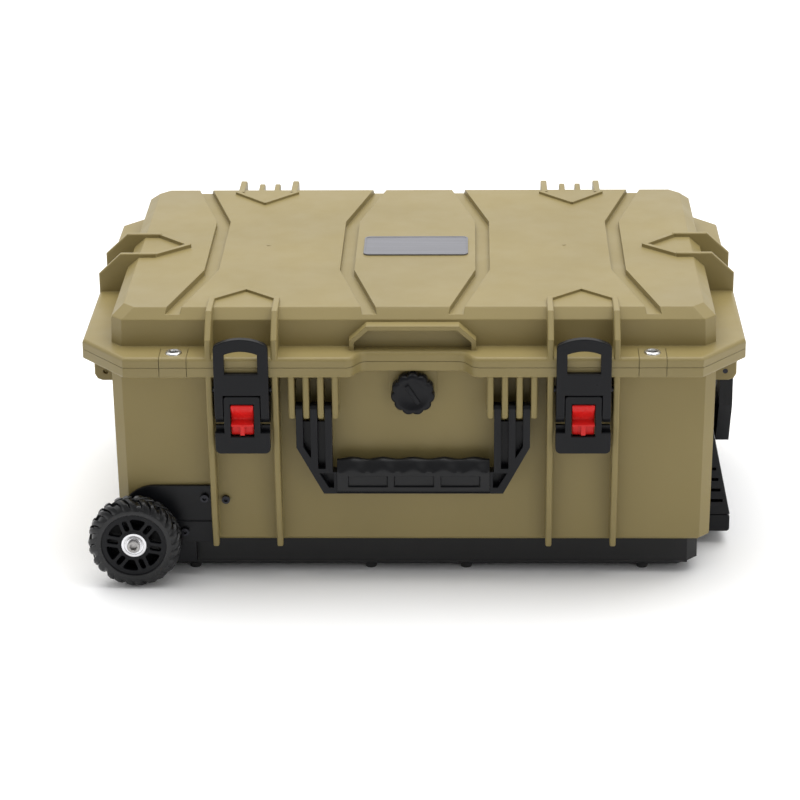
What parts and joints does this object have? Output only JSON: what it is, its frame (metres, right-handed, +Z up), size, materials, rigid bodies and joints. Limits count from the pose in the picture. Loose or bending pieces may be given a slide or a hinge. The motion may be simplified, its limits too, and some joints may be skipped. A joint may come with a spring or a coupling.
{
  "type": "hard equipment case",
  "caption": "Wheeled hard equipment case with a hinged ribbed lid, draw latches, fold-down carry handles, a purge valve and a telescoping pull handle.",
  "frame": {"origin": "on the floor under the middle of the lid's rim", "axes": "+Z up, the latched front faces -Y, the wheels are at the -X end and the pull handle at +X"},
  "size_m": [0.559, 0.417, 0.2436],
  "materials": {
    "tan_shell": "fine moulded grain",
    "black_moulded": "fine moulded grain",
    "soft_grip": "satin over-moulded grip",
    "red_button": "semi-gloss",
    "grey_label": "satin",
    "steel_pin": "plain zinc-plated",
    "black_bolt": "black oxide",
    "bearing_steel": "polished",
    "tube_aluminium": "anodised",
    "tyre_rubber": "matt tread",
    "seal_rubber": "soft"
  },
  "bodies": {
    "body": {"body_shell": "tan_shell", "body_padlock_blocks": "tan_shell", "body_eyelets": "steel_pin", "valve_body": "black_moulded", "valve_nut": "black_moulded", "hinge_pins": "steel_pin", "front_handle_pins": "steel_pin", "side_handle_pins": "steel_pin", "latch_lever_pin_left": "steel_pin", "latch_lever_pin_right": "steel_pin", "trolley_base": "black_moulded", "base_feet": "seal_rubber", "base_screws": "black_bolt", "wheel_housing_front": "black_moulded", "wheel_housing_rear": "black_moulded", "housing_bolts": "black_bolt", "wheel_axle_front": "steel_pin", "wheel_axle_rear": "steel_pin", "wheel_spacers_front": "steel_pin", "wheel_spacers_rear": "steel_pin", "outer_tubes": "tube_aluminium", "grip_cradle": "black_moulded"},
    "lid": {"lid_shell": "tan_shell", "lid_padlock_blocks": "tan_shell", "lid_seal": "seal_rubber", "label_plate": "grey_label", "lid_eyelets": "steel_pin"},
    "valve": {"valve_knob": "black_moulded"},
    "front_handle": {"front_handle_frame": "black_moulded", "front_handle_grip": "soft_grip"},
    "side_handle": {"side_handle_frame": "black_moulded", "side_handle_grip": "soft_grip"},
    "trolley_middle": {"middle_tubes": "tube_aluminium"},
    "trolley_grip": {"inner_tubes": "tube_aluminium", "pull_grip": "black_moulded"},
    "release_button": {"grip_button": "black_moulded"},
    "latch_lever_left": {"latch_lever_left": "black_moulded", "latch_arm_pins_left": "steel_pin", "latch_button_pin_left": "steel_pin"},
    "latch_arm_left": {"latch_arm_left": "black_moulded"},
    "latch_button_left": {"latch_button_left": "red_button"},
    "latch_lever_right": {"latch_lever_right": "black_moulded", "latch_arm_pins_right": "steel_pin", "latch_button_pin_right": "steel_pin"},
    "latch_arm_right": {"latch_arm_right": "black_moulded"},
    "latch_button_right": {"latch_button_right": "red_button"},
    "wheel_front": {"wheel_rim_front": "black_moulded", "wheel_tyre_front": "tyre_rubber", "wheel_bearings_front": "bearing_steel"},
    "wheel_rear": {"wheel_rim_rear": "black_moulded", "wheel_tyre_rear": "tyre_rubber", "wheel_bearings_rear": "bearing_steel"}
  },
  "joints": [
    {"name": "lid_hinge", "type": "hinge", "parent": "body", "child": "lid", "pos_m": [0, 0.203, 0.20015], "axis": [-1, 0, 0], "range_deg": [0, 100]},
    {"name": "valve_turn", "type": "hinge", "parent": "body", "child": "valve", "pos_m": [0, -0.18, 0.1715], "axis": [0, -1, 0], "range_deg": [0, 180]},
    {"name": "front_handle_fold", "type": "hinge", "parent": "body", "child": "front_handle", "pos_m": [0, -0.1875, 0.16], "axis": [-1, 0, 0], "range_deg": [0, 100]},
    {"name": "side_handle_fold", "type": "hinge", "parent": "body", "child": "side_handle", "pos_m": [0.2678, 0, 0.16], "axis": [0, -1, 0], "range_deg": [0, 100]},
    {"name": "middle_tube_slide", "type": "slide", "parent": "body", "child": "trolley_middle", "axis": [1, 0, 0], "range_m": [0, 0.2]},
    {"name": "grip_slide", "type": "slide", "parent": "trolley_middle", "child": "trolley_grip", "axis": [1, 0, 0], "range_m": [0, 0.2]},
    {"name": "release_press", "type": "slide", "parent": "trolley_grip", "child": "release_button", "axis": [-1, 0, 0], "range_m": [0, 0.002], "stiffness_N_per_m": 500},
    {"name": "latch_lever_left", "type": "hinge", "parent": "body", "child": "latch_lever_left", "pos_m": [-0.142, -0.1945, 0.179], "axis": [-1, 0, 0], "range_deg": [0, 100]},
    {"name": "latch_arm_left", "type": "hinge", "parent": "latch_lever_left", "child": "latch_arm_left", "pos_m": [-0.142, -0.1925, 0.1625], "axis": [-1, 0, 0], "range_deg": [-90, 0]},
    {"name": "latch_button_left", "type": "hinge", "parent": "latch_lever_left", "child": "latch_button_left", "pos_m": [-0.142, -0.2, 0.166], "axis": [1, 0, 0], "range_deg": [0, 8], "stiffness_Nm_per_rad": 0.1},
    {"name": "latch_lever_right", "type": "hinge", "parent": "body", "child": "latch_lever_right", "pos_m": [0.142, -0.1945, 0.179], "axis": [-1, 0, 0], "range_deg": [0, 100]},
    {"name": "latch_arm_right", "type": "hinge", "parent": "latch_lever_right", "child": "latch_arm_right", "pos_m": [0.142, -0.1925, 0.1625], "axis": [-1, 0, 0], "range_deg": [-90, 0]},
    {"name": "latch_button_right", "type": "hinge", "parent": "latch_lever_right", "child": "latch_button_right", "pos_m": [0.142, -0.2, 0.166], "axis": [1, 0, 0], "range_deg": [0, 8], "stiffness_Nm_per_rad": 0.1},
    {"name": "wheel_front", "type": "hinge", "parent": "body", "child": "wheel_front", "pos_m": [-0.2376, -0.194, 0.0405], "axis": [0, 1, 0], "continuous": true},
    {"name": "wheel_rear", "type": "hinge", "parent": "body", "child": "wheel_rear", "pos_m": [-0.2376, 0.194, 0.0405], "axis": [0, 1, 0], "continuous": true}
  ],
  "couplings": [
    {"joint": "latch_arm_left", "follows": "latch_lever_left", "ratio": -0.9},
    {"joint": "latch_arm_right", "follows": "latch_lever_right", "ratio": -0.9}
  ]
}
